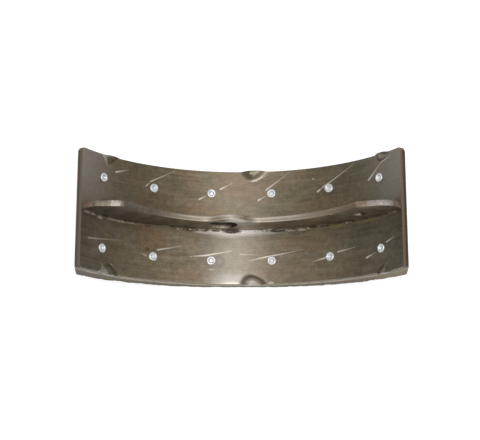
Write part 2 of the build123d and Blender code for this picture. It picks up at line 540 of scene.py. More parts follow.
web = plate(
    "web_plate",
    web_outline(),
    [hole(hold_down_centre, hold_down_radius), hole(spring_hole_centre, spring_hole_radius)],
    web_half,
    web_edge,
)
settle(web, sharp_angle=35)

# %% [markdown]
# ## Nodes for materials
# Each finish is a shader with a few noises behind it. Here the output of a node is a Value that can be
# reckoned with: a product of two values adds the node that works it out, so a finish reads as a recipe.
# A pattern that follows the rolled sheet reads the piece's own UV map, in millimetres along the arc and
# across; anything else reads Object coordinates, which stay with the piece when it moves.

# %% Helpers for node trees
class Tree:
    """A node tree being built, whose outputs come back as values."""

    def __init__(self, group):
        self.group = group

    def fill(self, node, inputs):
        """Sets or links a node's inputs, by name or number."""
        for name, value in inputs.items():
            if isinstance(value, Value):
                self.group.links.new(value.socket, node.inputs[name])
            else:
                node.inputs[name].default_value = value

    def node(self, kind, inputs=None, **settings):
        """Adds a node, sets its options and fills its inputs."""
        made = self.group.nodes.new(kind)
        for name, value in settings.items():
            setattr(made, name, value)
        self.fill(made, inputs or {})
        return made

    def add(self, kind, inputs=None, output=0, **settings):
        """Adds a node and gives one of its outputs."""
        return Value(self, self.node(kind, inputs, **settings).outputs[output])

    def combine(self, x, y, z):
        return self.add("ShaderNodeCombineXYZ", {0: x, 1: y, 2: z})


def reckoning(operation):
    """A method of a value that adds a Math node."""
    return lambda value, second=0.0, third=0.0: value.maths(operation, second, third)


class Value:
    """An output of a node; reckoning with it adds the nodes that work out the result."""

    __abs__ = reckoning("ABSOLUTE")
    __add__ = reckoning("ADD")
    __sub__ = reckoning("SUBTRACT")
    __mul__ = reckoning("MULTIPLY")
    __truediv__ = reckoning("DIVIDE")
    most = reckoning("MAXIMUM")
    scaled = reckoning("MULTIPLY_ADD")  # times a factor, plus a shift

    def __init__(self, tree, socket):
        self.tree = tree
        self.socket = socket

    def output(self, name):
        """Another output of the same node."""
        return Value(self.tree, self.socket.node.outputs[name])

    def parts(self):
        """Its X, Y and Z."""
        return [Value(self.tree, part) for part in self.tree.node("ShaderNodeSeparateXYZ", {0: self}).outputs]

    def maths(self, operation, second=0.0, third=0.0):
        return self.tree.add("ShaderNodeMath", {0: self, 1: second, 2: third}, operation=operation)

    def vector(self, operation, second=(0.0, 0.0, 0.0), output=0, **inputs):
        inputs = {0: self, 1: second, **inputs}
        return self.tree.add("ShaderNodeVectorMath", inputs, output, operation=operation)

    def __rsub__(self, number):
        """A plain number less this value."""
        return self.tree.add("ShaderNodeMath", {0: number, 1: self}, operation="SUBTRACT")

    def eased(self, low, high, to_low=0.0, to_high=1.0):
        """This carried smoothly from one range to another, and held at its ends."""
        inputs = {"Value": self, "From Min": low, "From Max": high, "To Min": to_low, "To Max": to_high}
        return self.tree.add("ShaderNodeMapRange", inputs, "Result", interpolation_type="SMOOTHSTEP")

    def faded(self, low, high):
        """1 up to the low number and 0 from the high one."""
        return self.eased(low, high, 1.0, 0.0)

    def noise(self, stretch, detail, roughness):
        """Noise at this place: stretch is the number of its grains per unit, along each axis or all."""
        inputs = {"Scale": 1.0, "Detail": detail, "Roughness": roughness}
        inputs["Vector"] = self.vector("MULTIPLY", stretch if isinstance(stretch, tuple) else (stretch,) * 3)
        return self.tree.add("ShaderNodeTexNoise", inputs, "Fac")

    def mix(self, first, second):
        """The second colour laid over the first by this share."""
        first, second = ((*tone, 1.0) if isinstance(tone, tuple) else tone for tone in (first, second))
        return self.tree.add("ShaderNodeMix", {0: self, 6: first, 7: second}, 2, data_type="RGBA")

    def toned(self, low, high, tones):
        """A colour that changes along this number: each tone is the number and its colour."""
        inputs = {"Value": self, "From Min": low, "From Max": high}
        share = self.tree.add("ShaderNodeMapRange", inputs, "Result")
        made = self.tree.node("ShaderNodeValToRGB", {"Fac": share})
        stops = made.color_ramp.elements
        for i, (place, colour) in enumerate(tones):
            at = (place - low) / (high - low)
            stop = stops[i] if i < 2 else stops.new(at)
            stop.position = at
            stop.color = (*colour, 1.0)
        return Value(self.tree, made.outputs["Color"])


class Surface(Tree):
    """The tree of a new material, still empty."""

    def __init__(self, name):
        self.material = bpy.data.materials.new(name)
        self.material.use_nodes = True
        super().__init__(self.material.node_tree)
        self.group.nodes.clear()


class Finish(Surface):
    """A material with a Principled shader; uniform numbers go straight on its sockets."""

    def __init__(self, name, **sockets):
        super().__init__(name)
        self.shader = self.node("ShaderNodeBsdfPrincipled")
        self.node("ShaderNodeOutputMaterial", {"Surface": Value(self, self.shader.outputs["BSDF"])})
        self.give(**sockets)

    def give(self, **sockets):
        """Sets or links the shader's sockets, written with _ for a space."""
        self.fill(self.shader, {name.replace("_", " "): value for name, value in sockets.items()})

    def body(self):
        """Object coordinates, in millimetres."""
        return self.add("ShaderNodeTexCoord", output="Object").vector("SCALE", Scale=1 / mm)

    def sheet(self):
        """The place on the unrolled sheet, in millimetres along the arc and across."""
        return self.add("ShaderNodeUVMap", output="UV", uv_map="sheet").vector("SCALE", Scale=1 / mm)

    def bump(self, height, distance, strength):
        inputs = {"Height": height, "Distance": distance, "Strength": strength}
        self.give(Normal=self.add("ShaderNodeBump", inputs, "Normal"))


def new_group(kind, name, inputs, output, output_kind):
    """A node group's tree and the values of its named inputs: each is a name, a kind and maybe a default."""
    group = bpy.data.node_groups.new(name, kind)
    for label, socket, *default in inputs:
        made = group.interface.new_socket(label, in_out="INPUT", socket_type=f"NodeSocket{socket}")
        if default:
            made.default_value = default[0]
    group.interface.new_socket(output, in_out="OUTPUT", socket_type=f"NodeSocket{output_kind}")
    tree = Tree(group)
    return tree, {socket.name: Value(tree, socket) for socket in tree.node("NodeGroupInput").outputs}


def from_axis(body):
    """How far a place lies from the drum's axis, in millimetres."""
    return body.vector("MULTIPLY", (1, 0, 1)).vector("DISTANCE", (0, 0, axis_height / mm), "Value")


def dress(piece, material):
    piece.data.materials.clear()
    piece.data.materials.append(material)


def marked(place, group, marks):
    """The strongest of some marks at a place: a group draws each of them from its settings."""
    drawn = []
    for settings in marks:
        mark = place.tree.node("ShaderNodeGroup", node_tree=group)
        place.tree.fill(mark, {"Place": place, **settings})
        drawn.append(Value(place.tree, mark.outputs["Mark"]))
    return reduce(Value.most, drawn)


# %% [markdown]
# ## Scratches
# When the rivets were set, a tool dragged bright lines across the oily sheet beside them. Each line is a
# segment on the unrolled sheet: a small node group measures how far a place is from the segment, and
# turns that into a mark that is widest where it starts and fades where it ends. Wide ones are painted
# light on the lit flanks and lips of the nibs, and a second list is painted shade on their shaded flanks.

# %% The scratch group
def scratch_group():
    vectors = [(name, "Vector") for name in ("Place", "Start", "Stop")]
    numbers = [("Width", "Float"), ("Strength", "Float")]
    tree, given = new_group("ShaderNodeTree", "scratch_mark", vectors + numbers, "Mark", "Float")
    to_place = given["Place"].vector("SUBTRACT", given["Start"])
    line = given["Stop"].vector("SUBTRACT", given["Start"])
    run = to_place.vector("DOT_PRODUCT", line, "Value")
    share = tree.add("ShaderNodeClamp", {"Value": run / line.vector("DOT_PRODUCT", line, "Value")})
    nearest = line.vector("SCALE", Scale=share)
    away = to_place.vector("SUBTRACT", nearest).vector("LENGTH", output="Value")
    taper = share.eased(0.0, 1.0, 1.0, 0.45)
    soft = (away / (given["Width"] * taper)).faded(0.35, 1.0)
    tree.node("NodeGroupOutput", {"Mark": soft * taper * given["Strength"]})
    return tree.group


scratch = scratch_group()
# each is start and stop on the unrolled sheet, a half width, all in millimetres, and a strength
scratches_and_lit_flanks = (
    ((-114.5, 36.5), (-102, 40.5), 0.96, 0.85),
    ((-84, 30), (-80, 34.3), 0.84, 0.75),
    ((-80, 34.3), (-58, 46), 0.84, 0.75),
    ((-36, 23.5), (-30.5, 26.5), 0.96, 0.85),
    ((-18, 33), (-8, 38.5), 0.84, 0.65),
    ((14.5, 23.5), (20.3, 26.8), 0.96, 0.75),
    ((21, 32.3), (41.5, 46.8), 0.84, 0.75),
    ((66.5, 27.5), (71.3, 30.8), 1.2, 1),
    ((71.3, 30.8), (102.5, 47), 0.84, 0.85),
    ((116, 29.5), (130.3, 41.5), 0.96, 0.95),
    ((130.3, 41.5), (142.5, 44.5), 0.6, 0.75),
    ((-144, -23.3), (-104.5, -19), 0.8, 0.5),
    ((-1.2, -23.0), (19.9, -24.1), 0.6, 0.35),
    ((-83, -29), (-89, -27.5), 0.84, 0.65),
    ((-72.5, -23), (-52, -18.3), 0.96, 0.95),
    ((-30.5, -24.8), (-44, -26.3), 0.96, 0.85),
    ((-30.5, -24.8), (-8.5, -20.3), 0.96, 0.85),
    ((20.3, -25.8), (6.3, -28.7), 0.96, 0.75),
    ((20.3, -25.8), (53, -20.8), 0.84, 0.85),
    ((72, -29.8), (61, -32), 0.96, 1),
    ((84, -26), (100.5, -24), 0.96, 0.85),
    ((112, -34.4), (121.5, -31.5), 1.08, 0.95),
    ((134, -25), (143, -22.3), 0.96, 0.95),
    # painted light on the lit flanks and lips of the nibs
    ((-125.5, -48.6), (-126.8, -42.0), 3.6, 0.3),
    ((-129.8, -48.4), (-128.0, -46.5), 1.4, 0.5),
    ((-117.4, -40.4), (-112.0, -42.9), 0.6, 0.4),
    ((129.8, -49.0), (132.4, -43.0), 5.0, 0.2),
    ((130.5, 45.6), (137.0, 45.8), 2.6, 0.3),
    ((-127.2, 47.8), (-124.0, 39.8), 2.2, 0.45),
    ((-128.5, 47.6), (-120.0, 48.2), 1.8, 0.45),
    ((13.0, 40.7), (5.5, 40.8), 1.3, 0.3),
    ((11.0, 40.5), (24.0, 46.2), 1.2, 0.3),
    ((5.0, -47.0), (12.0, -47.2), 1.0, 0.5),
)
# painted shade on the shaded flanks of the nibs
flank_shade_lines = (
    ((-112.5, -47.0), (-117.8, -41.3), 3.4, 0.4),
    ((11.0, 42.6), (21.0, 46.0), 1.9, 0.5),
    ((124.2, -47.5), (127.5, -43.5), 2.6, 0.3),
    ((-119.8, 45.3), (-109.5, 42.8), 2.8, 0.75),
    ((127.0, 44.8), (134.0, 42.4), 2.0, 0.6),
)


def scratched(place, lines):
    """The strongest of some lines at a place: scratch marks, painted light and painted shade are all drawn
    this way.
    """
    marks = []
    for start, stop, width, strength in lines:
        marks.append({"Start": (*start, 0.0), "Stop": (*stop, 0.0), "Width": width, "Strength": strength})
    return marked(place, scratch, marks)


# the second count is of painted shade lines on the nibs' flanks
print(len(scratches_and_lit_flanks), "scratches and", len(flank_shade_lines), "smears of grease")

# %% [markdown]
# ## Stains, painted light and painted shade
# Painted shade under the web's reliefs, painted light along its feet and on the nibs, rust, and rings left
# by washers are soft spots on the same unrolled sheet. A second group gives a spot with a centre and a reach
# each way, its outline broken by noise.

# %% The spot group
spot_fade = 0.18  # how far past its reach a spot fades out, as a share


def spot_group():
    vectors = [(name, "Vector") for name in ("Place", "Centre", "Reach")]
    numbers = [("Rough", "Float"), ("Ring", "Float")]
    tree, given = new_group("ShaderNodeTree", "soft_spot", vectors + numbers, "Mark", "Float")
    away = given["Place"].vector("SUBTRACT", given["Centre"])
    share = away.vector("DIVIDE", given["Reach"]).vector("LENGTH", output="Value")
    grain = given["Place"].noise((0.7, 0.7, 1.0), 3.0, 0.6)
    ragged = (grain - 0.5).scaled(given["Rough"], share)
    full = 1.0 - given["Ring"]
    mark = abs(ragged - given["Ring"]).faded(full * 0.6, full + spot_fade)
    tree.node("NodeGroupOutput", {"Mark": mark})
    return tree.group


spot = spot_group()


def spotted(place, spots, ring=0.0):
    """The strongest of some spots at a place; with a ring, a share of the reach, they are hollow."""
    marks = []
    for centre, reach, rough in spots:
        marks.append({"Centre": (*centre, 0.0), "Reach": (*reach, 1.0), "Rough": rough, "Ring": ring})
    return marked(place, spot, marks)


# each is a centre and a reach on the unrolled sheet, in millimetres, and how ragged its outline is
# painted shade on the table under the web's reliefs, which the bump also dents a little
relief_shade_spots = (
    ((-43.5, -3.0), (6.8, 1.9), 0.5),
    ((-8.0, -3.0), (8.0, 2.4), 0.4),
    ((30.5, -3.2), (7.5, 1.9), 0.5),
    ((62.0, -2.7), (4.0, 0.7), 0.6),
    ((72.0, -2.7), (5.5, 0.8), 0.5),
)
# painted light on the table along the web's feet
foot_light_spots = (
    ((-30.0, -4.2), (13.0, 2.4), 0.8),
    ((26.0, -4.4), (10.0, 1.8), 0.8),
)
rust_spots = (
    ((-82.0, -3.9), (3.6, 1.2), 0.9),
    ((99.5, 11.8), (6.0, 2.6), 1.2),
    ((149.0, 4.5), (4.5, 4.5), 1.0),
    ((-147.0, 2.0), (4.0, 3.0), 1.2),
    ((-82.0, -23.4), (2.6, 2.0), 1.0),
    ((-124.0, 8.0), (9.0, 4.0), 1.4),
)
brown_clouds = (
    ((-79.0, 17.0), (17.0, 9.0), 1.6),
    ((-80.0, -14.0), (20.0, 10.0), 1.6),
    ((-30.0, 12.0), (26.0, 6.0), 1.6),
    ((70.0, 17.0), (20.0, 8.0), 1.6),
    ((60.0, -14.0), (24.0, 9.0), 1.6),
)
pale_dots_and_glints = (
    ((62.3, 39.0), (0.9, 0.9), 0.6),
    ((-54.8, -3.6), (1.3, 0.9), 0.6),
    ((-25.6, -36.5), (2.4, 0.6), 1.2),
    ((42.5, -3.6), (4.5, 1.2), 0.9),
    ((51.5, -3.9), (4.0, 1.4), 0.9),
    ((-146.5, -2.8), (4.5, 1.1), 0.9),
    ((-138.5, -3.2), (3.0, 1.0), 0.9),
    ((-130.8, -4.4), (3.0, 1.5), 0.9),
    ((143.9, -2.2), (3.2, 1.0), 0.9),
    ((-110.0, -3.8), (17.0, 0.7), 1.6),
    # painted highlights: a glint on the far middle nib and glare on each side of the near one
    ((8.3, 46.9), (1.7, 1.3), 0.4),
    ((25.0, -48.2), (2.6, 1.4), 0.4),
    ((-8.0, -48.0), (7.5, 1.5), 0.6),
)
ochre_streaks = (
    ((115.0, -4.4), (17.0, 1.3), 0.9),
    ((84.0, -4.3), (9.0, 1.5), 0.9),
    ((131.5, 45.4), (3.4, 1.8), 0.9),
)
film_span = (-150.0, 150.0)
film_and_light_above = (
    # place along the arc in millimetres, and the tint there behind the web: the oil film's colour with
    # painted light and shade, darker towards the ends
    (-150.0, (0.76, 0.70, 0.62)),
    (-120.0, (0.66, 0.64, 0.57)),
    (-90.0, (0.70, 0.70, 0.65)),
    (-45.0, (1.10, 1.02, 0.95)),
    (-18.0, (0.92, 0.90, 0.82)),
    (5.0, (0.92, 0.91, 0.86)),
    (50.0, (1.10, 1.10, 1.05)),
    (85.0, (0.76, 0.77, 0.76)),
    (110.0, (0.66, 0.71, 0.66)),
    (150.0, (0.85, 0.85, 0.80)),
)
film_and_light_below = (
    # the same before the web, painted light and shade included
    (-150.0, (0.60, 0.62, 0.70)),
    (-95.0, (0.90, 0.97, 0.97)),
    (-55.0, (1.30, 1.28, 1.25)),
    (-27.0, (0.84, 0.82, 0.79)),
    (10.0, (0.97, 0.97, 0.97)),
    (28.0, (0.93, 0.93, 0.92)),
    (60.0, (1.08, 1.14, 1.15)),
    (105.0, (0.76, 0.79, 0.86)),
    (150.0, (0.62, 0.68, 0.75)),
)
washer_ring = (((-18.5, -29.5), (4.6, 4.6), 0.4),)
all_spots = (relief_shade_spots, foot_light_spots, rust_spots, brown_clouds, pale_dots_and_glints, ochre_streaks, washer_ring)
print(sum(len(spots) for spots in all_spots), "spots")

# %% [markdown]
# ## The finish of the table
# Rolled steel under an old film of oil is olive brown and half bright. Rolling leaves fine lines along the
# arc, so the gloss is anisotropic, and a lamp's reflection is drawn out across the strip. Over that lie
# clouds of thicker film, greyer ends, a little rust along the welds, and the scratches. Painted light and
# shade lie over it too: along the arc, before the web, on the nibs, under the reliefs and on the cut edges.

# %% Finish the table
def table_finish():
    finish = Finish("oiled_rolled_steel", Metallic=0.5, Anisotropic=0.5, Anisotropic_Rotation=0.25)
    place = finish.sheet()
    body = finish.body()
    x, y, _ = place.parts()
    along = abs(x)
    beside_web = abs(y)

    # the steel and its film of oil, with painted light and shade along the arc
    fine = place.noise((0.04, 1.4, 1.0), 2.0, 0.6)
    streaks = place.noise((0.02, 0.3, 1.0), 3.0, 0.6)
    clouds = body.noise(0.05, 5.0, 0.62)
    patches = body.noise(0.022, 3.0, 0.5)
    specks = body.noise(0.45, 3.0, 0.6)
    flecks = body.noise(0.8, 2.0, 0.5).eased(0.67, 0.74, 0.0, 0.5)
    olive = clouds.eased(0.38, 0.62).mix((0.112, 0.092, 0.046), (0.168, 0.126, 0.076))
    browned = patches.eased(0.45, 0.62, 0.0, 0.55).mix(olive, (0.185, 0.118, 0.062))
    streaked = streaks.eased(0.4, 0.7, 0.0, 0.6).mix(browned, (0.215, 0.175, 0.112))
    lined = fine.eased(0.4, 0.75, 0.0, 0.3).mix(streaked, (0.26, 0.22, 0.155))
    clouded = (spotted(place, brown_clouds) * 0.35).mix(lined, (0.20, 0.115, 0.048))
    freckled = specks.eased(0.60, 0.72, 0.0, 0.35).mix(clouded, (0.055, 0.04, 0.022))
    mealy = body.noise(0.22, 4.0, 0.7).scaled(1.3, 0.35)
    woven = place.noise((0.5, 1.1, 1.0), 3.0, 0.7).scaled(0.9, 0.55)
    film_and_light = y.eased(-2.0, 2.0).mix(x.toned(*film_span, film_and_light_below), x.toned(*film_span, film_and_light_above))
    oiled_and_lit = freckled.vector("MULTIPLY", film_and_light).vector("SCALE", Scale=mealy * woven)
    flecked = flecks.mix(oiled_and_lit, (0.36, 0.31, 0.23))
    far_end = along.eased(112.0, 146.0) * y.eased(4.0, 14.0, 0.1, 0.5)
    greyed = far_end.mix(flecked, (0.155, 0.133, 0.112))

    # painted highlight before the web, at the near rim, and painted light in a line along the feet
    glare_strips = y.eased(-48.0, -35.0, 1.0, 0.3).most(y.eased(-13.0, -5.0))
    painted_light = abs(x + 6.0).faded(0.0, 32.0) * (y.faded(-2.0, 2.0) * glare_strips)
    glared = (painted_light * clouds.eased(0.3, 0.6, 0.35, 0.65)).mix(greyed, (0.56, 0.53, 0.50))
    foot_light = y.eased(-8.0, -3.8) * y.faded(-1.0, 1.0) * abs(x - 2.0).eased(4.0, 48.0, 0.6, 0.0)
    lit = foot_light.most(spotted(place, foot_light_spots) * 0.4).mix(glared, (0.72, 0.67, 0.63))

    # stains, rust, and painted shade under the web's reliefs
    ringed = (spotted(place, washer_ring, ring=0.8) * 0.3).mix(lit, (0.07, 0.055, 0.035))
    rust_side = beside_web.eased(2.0, 9.0, 0.7, 0.0) * along.eased(50.0, 80.0)
    rust_band = body.noise((0.14, 0.2, 0.14), 5.0, 0.65).eased(0.54, 0.68) * rust_side
    rust = rust_band.most(spotted(place, rust_spots) * 0.8)
    rusty = rust.mix(ringed, (0.12, 0.052, 0.022))
    ochred = (spotted(place, ochre_streaks) * 0.75).mix(rusty, (0.22, 0.17, 0.07))
    relief_shade = spotted(place, relief_shade_spots)
    relief_shaded = (relief_shade * 0.92).mix(ochred, (0.055, 0.036, 0.024))
    # pale weld marks, and painted highlights on and beside the nibs
    dotted = (spotted(place, pale_dots_and_glints) * 0.65).mix(relief_shaded, (0.55, 0.49, 0.40))

    # painted shade on the nibs' flanks, painted light on their lit flanks, and the scratches
    press = finish.add("ShaderNodeAttribute", output="Fac", attribute_name="pressed")
    flank_shade = press.eased(0.02, 0.25) * press.eased(0.45, 0.9, 0.65, 0.05)
    flank_shaded = flank_shade.most(scratched(place, flank_shade_lines)).mix(dotted, (0.078, 0.060, 0.020))
    marks = scratched(place, scratches_and_lit_flanks)
    drawn = marks.mix(flank_shaded, (0.64, 0.60, 0.54))

    # the cut edges: painted shade on the two rim faces, and the sawn ends
    depth = from_axis(body)
    over_rim = beside_web.eased(rim_y / mm - 0.5, rim_y / mm - 0.15)
    rim_shaded = (over_rim * depth.eased(141.9, 142.6, 0.0, 0.85)).mix(drawn, (0.045, 0.034, 0.024))
    sawn = along.eased(table_half_arc / mm - 0.4, table_half_arc / mm - 0.1)
    right = x.eased(-1.0, 1.0)
    end_tone = right.mix((0.16, 0.133, 0.09), (0.18, 0.122, 0.07))
    # painted shade along the outer edge of each sawn end
    end_edge_shade = depth.eased(143.4, 144.4) * right.eased(0.0, 1.0, 0.2, 0.8)
    end_colour = end_edge_shade.mix(end_tone, (0.075, 0.056, 0.042))

    worn = clouds.eased(0.3, 0.7, 0.46, 0.56) + streaks.eased(0.3, 0.7, -0.04, 0.04)
    finish.give(
        Base_Color=sawn.mix(rim_shaded, end_colour),
        Roughness=marks.scaled(-0.06, relief_shade.most(rust).scaled(0.3, worn)),
        Coat_Weight=relief_shade.eased(0.0, 1.0, 0.7, 0.1),
        Coat_Roughness=streaks.eased(0.3, 0.7, 0.26, 0.36),
        Tangent=finish.add("ShaderNodeTangent", direction_type="UV_MAP", uv_map="sheet"),
    )
    dented = relief_shade.scaled(-6.0, fine + specks * 0.8)
    finish.bump(marks.scaled(-0.6, dented), 0.06 * mm, 0.7)
    return finish.material


dress(table, table_finish())
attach(table, "root")
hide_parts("table")

# %% [markdown]
# ## The finish of the web
# The web's faces keep a brown mill scale under the oil. Its cut edges are bare and pale, most of all along
# the inner curve and on the two pads, which rub in use, and brown between them. A face is told from an
# edge by its normal, and the walls of the holes by their distance from the hole's middle. Painted light
# brightens the faces and the edge towards the middle, and painted shade fills the holes and the gaps under
# the feet.

# %% Finish the web
web_span = (-130.0, 130.0)
edge_tones = (
    # place along the shoe in millimetres and the tone of the cut edge there
    (-124.0, (0.10, 0.06, 0.035)),
    (-118.0, (0.21, 0.14, 0.075)),
    (-114.0, (0.13, 0.10, 0.065)),
    (-112.5, (0.18, 0.152, 0.11)),
    (-102.0, (0.20, 0.168, 0.125)),
    (-100.5, (0.50, 0.47, 0.42)),
    (-95.0, (0.46, 0.42, 0.37)),
    (-93.0, (0.11, 0.092, 0.07)),
    (-68.0, (0.13, 0.108, 0.08)),
    (-54.0, (0.27, 0.215, 0.15)),
    (-35.0, (0.33, 0.275, 0.205)),
    (-10.0, (0.31, 0.255, 0.19)),
    (0.0, (0.30, 0.245, 0.18)),
    (10.0, (0.31, 0.255, 0.19)),
    (20.0, (0.33, 0.275, 0.21)),
    (40.0, (0.32, 0.265, 0.20)),
    (68.0, (0.27, 0.215, 0.145)),
    (82.0, (0.20, 0.145, 0.10)),
    (96.0, (0.22, 0.15, 0.10)),
    (99.5, (0.33, 0.30, 0.28)),
    (114.0, (0.31, 0.28, 0.265)),
    (118.0, (0.13, 0.08, 0.045)),
    (126.0, (0.09, 0.055, 0.03)),
)
web_shine = (
    # centre and reach in the web's own plane, in millimetres from the middle and over the lining's foot
    ((-4.0, 52.5), (10.0, 6.0), 0.4),
    ((70.9, 76.2), (1.6, 1.2), 0.6),
)
# painted light on the web's face around its middle
web_face_light = (((2.0, 46.0), (14.0, 15.0), 0.5),)
gap_shade_lines = (
    # painted shade where the plate's foot lies hollow off the table: start, stop and half width in the web's
    # plane
    ((-59.0, 34.0), (-67.3, 38.3), 2.8, 1.0),
    ((-67.3, 38.0), (-59.0, 33.7), 2.8, 1.0),
    ((90.0, 53.6), (82.0, 47.4), 3.0, 1.0),
    ((82.0, 47.2), (90.0, 53.4), 3.0, 1.0),
)
face_light_tones = (
    # place along the shoe in millimetres and the tint of the web's faces there: painted light, brightest at
    # the middle
    (-130.0, (0.80, 0.80, 0.80)),
    (-60.0, (1.0, 1.0, 1.0)),
    (-45.0, (1.30, 1.30, 1.30)),
    (-30.0, (1.80, 1.75, 1.66)),
    (2.0, (2.75, 2.68, 2.60)),
    (18.0, (2.00, 1.95, 1.92)),
    (30.0, (1.60, 1.56, 1.54)),
    (60.0, (1.40, 1.37, 1.33)),
    (130.0, (1.15, 1.12, 1.05)),
)
holes = ((hold_down_centre, hold_down_radius), (spring_hole_centre, spring_hole_radius))


def in_hole(body):
    """Two shares: on the wall of either hole, and on the low front lip of it, which takes painted light."""
    walls = []
    lips = []
    for centre, radius in holes:
        away = body.vector("MULTIPLY", (1, 0, 1)).vector("SUBTRACT", (centre.x / mm, 0.0, centre.y / mm))
        x, _, z = away.parts()
        wall = away.vector("LENGTH", output="Value").faded(radius / mm + 0.25, radius / mm + 0.6)
        walls.append(wall)
        lips.append(wall * (x.scaled(0.6, z) / (radius / mm)).faded(-0.9, -0.35))
    front = body.parts()[1].faded(-1.4, 0.8)
    return reduce(Value.most, walls), reduce(Value.most, lips) * front


def web_finish():
    finish = Finish("sheared_plate", Coat_Roughness=0.45)
    body = finish.body()
    x, y, z = body.parts()
    facing = finish.add("ShaderNodeTexCoord", output="Normal").parts()[1]
    edge = abs(facing).faded(0.35, 0.75)
    grains = body.noise(0.7, 3.0, 0.6)
    cut = body.noise((0.05, 1.6, 0.05), 3.0, 0.6)

    # the two faces, with painted light towards the middle and painted shade in the gaps under the feet
    scale = body.noise(0.09, 5.0, 0.6).eased(0.35, 0.65)
    scaly = scale.mix((0.075, 0.058, 0.036), (0.145, 0.115, 0.078))
    scale_lit = scaly.vector("MULTIPLY", x.toned(*web_span, face_light_tones))
    plane = finish.combine(x, z, 0.0)
    face_brightened = (spotted(plane, web_face_light) * 0.45).mix(scale_lit, (0.62, 0.59, 0.56))
    shining = (spotted(plane, web_shine) * 0.9).mix(face_brightened, (0.84, 0.82, 0.81))
    gap_shade = scratched(plane, gap_shade_lines)
    face = gap_shade.mix(shining, (0.012, 0.010, 0.008))

    # the cut edge, with a painted highlight along each side of it near the middle
    bare = cut.eased(0.3, 0.6, 0.7, 1.0).mix((0.11, 0.08, 0.055), x.toned(*web_span, edge_tones))
    sideways = abs(x)
    near_line = y.eased(-2.1, -0.9, 0.4, 0.0) * sideways.faded(35.0, 75.0)
    far_line = abs(y - 0.9).faded(0.2, 1.2) * sideways.faded(40.0, 58.0)
    off_lobe = abs(x - 1.0).eased(4.0, 12.0, 0.1, 0.5)
    lit = near_line.most(far_line * off_lobe).mix(bare, (0.72, 0.67, 0.60))
    shreds = body.noise((0.25, 0.9, 0.25), 2.0, 0.6).eased(0.5, 0.7, 0.0, 0.3)
    streaked = shreds.mix(lit, (0.46, 0.42, 0.37))
    over = grains.eased(0.48, 0.62, 0.0, 0.5) * sideways.eased(60.0, 100.0, 0.15, 1.0)
    mottled = over.mix(streaked, (0.12, 0.09, 0.065))

    # the holes, with painted shade on their walls and painted light on the low front lip, and rust over all
    # of it
    walls, lips = in_hole(body)
    hole_shaded = walls.mix(edge.mix(face, mottled), (0.030, 0.022, 0.014))
    painted_light = (lips * grains.eased(0.35, 0.6, 0.3, 1.0)).mix(hole_shaded, (0.34, 0.30, 0.21))
    rust = body.noise(0.16, 5.0, 0.65).eased(0.58, 0.70, 0.0, 0.8) * edge.eased(0.0, 1.0, 1.0, 0.35)
    finish.give(
        Base_Color=rust.mix(painted_light, (0.13, 0.068, 0.030)),
        Metallic=gap_shade.eased(0.0, 1.0, 0.5, 0.0),
        Specular_IOR_Level=gap_shade.eased(0.0, 1.0, 0.5, 0.0),
        Coat_Weight=gap_shade.eased(0.0, 1.0, 0.15, 0.0),
        Roughness=edge.eased(0.0, 1.0, 0.50, 0.56),
    )
    finish.bump(grains + cut, 0.15 * mm, 0.7)
    return finish.material


dress(web, web_finish())
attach(web, "root")
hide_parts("web")

# %% [markdown]
# ## The finish of the lining
# Friction material is resin and mineral dust with chips of brass and fibre in it: matt, olive grey and
# mottled. The ground face has faint lines along its travel. The sides have painted light along their top
# edge, grow darker towards the bottom and carry dust at the right end, and the ends carry painted shade.

# %% Finish the lining
def lining_finish():
    finish = Finish("friction_mix", Metallic=0.0, Specular_IOR_Level=0.35)
    body = finish.body()
    x, y, _ = body.parts()
    mottle = body.noise(0.16, 5.0, 0.65)
    grains = body.noise(1.1, 4.0, 0.7)
    lines = finish.sheet().noise((0.03, 0.9, 1.0), 3.0, 0.6)
    cells = finish.add("ShaderNodeTexVoronoi", {"Vector": body, "Scale": 0.55, "Randomness": 1.0}, "Distance")
    chips = cells.faded(0.12, 0.26) * cells.output("Color").parts()[0].eased(0.6, 0.65)
    base = mottle.eased(0.35, 0.65).mix((0.155, 0.124, 0.073), (0.30, 0.24, 0.15))
    grained = grains.eased(0.4, 0.7, 0.0, 0.6).mix(base, (0.39, 0.33, 0.24))
    lined = lines.eased(0.5, 0.7, 0.0, 0.35).mix(grained, (0.09, 0.08, 0.06))
    chipped = (chips * 0.7).mix(lined, (0.42, 0.30, 0.12))

    depth = from_axis(body)
    at_side = abs(y).eased(48.0, 48.6)
    # painted light along the top edge of each side, where it faces up
    lit_top_edge = depth.faded(145.7, 146.9) * mottle.eased(0.3, 0.55, 0.5, 1.0)
    top_lit = (lit_top_edge * at_side).mix(chipped, (0.50, 0.44, 0.35))
    # darker towards the bottom of each side
    darker_low = (depth.eased(148.5, 154.0, 0.0, 0.6) * at_side).mix(top_lit, (0.10, 0.08, 0.05))
    dusty = (x.eased(96.0, 122.0, 0.0, 0.5) * at_side).mix(darker_low, (0.50, 0.43, 0.27))
    # painted shade on the lining's ends
    lining_end_shade = abs(x).eased(lining_end_x / mm - 0.5, lining_end_x / mm - 0.2, 0.0, 0.85)
    finish.give(
        Base_Color=(lining_end_shade * y.eased(-48.4, -47.4)).mix(dusty, (0.065, 0.052, 0.042)),
        Roughness=mottle.eased(0.3, 0.7, 0.62, 0.78),
    )
    finish.bump(grains + mottle, 0.4 * mm, 0.7)
    return finish.material


dress(lining, lining_finish())
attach(lining, "root")
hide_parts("lining")

# %% [markdown]
# ## The rivets
# A semi-tubular rivet has a flat head in the counterbore and a hollow end, rolled outwards over the table.
# Its half section is drawn once. A Geometry Nodes tree turns it round its own axis, sets a copy at each
# place of the two rows, gives each a twist of its own and slight dents, and realizes them.

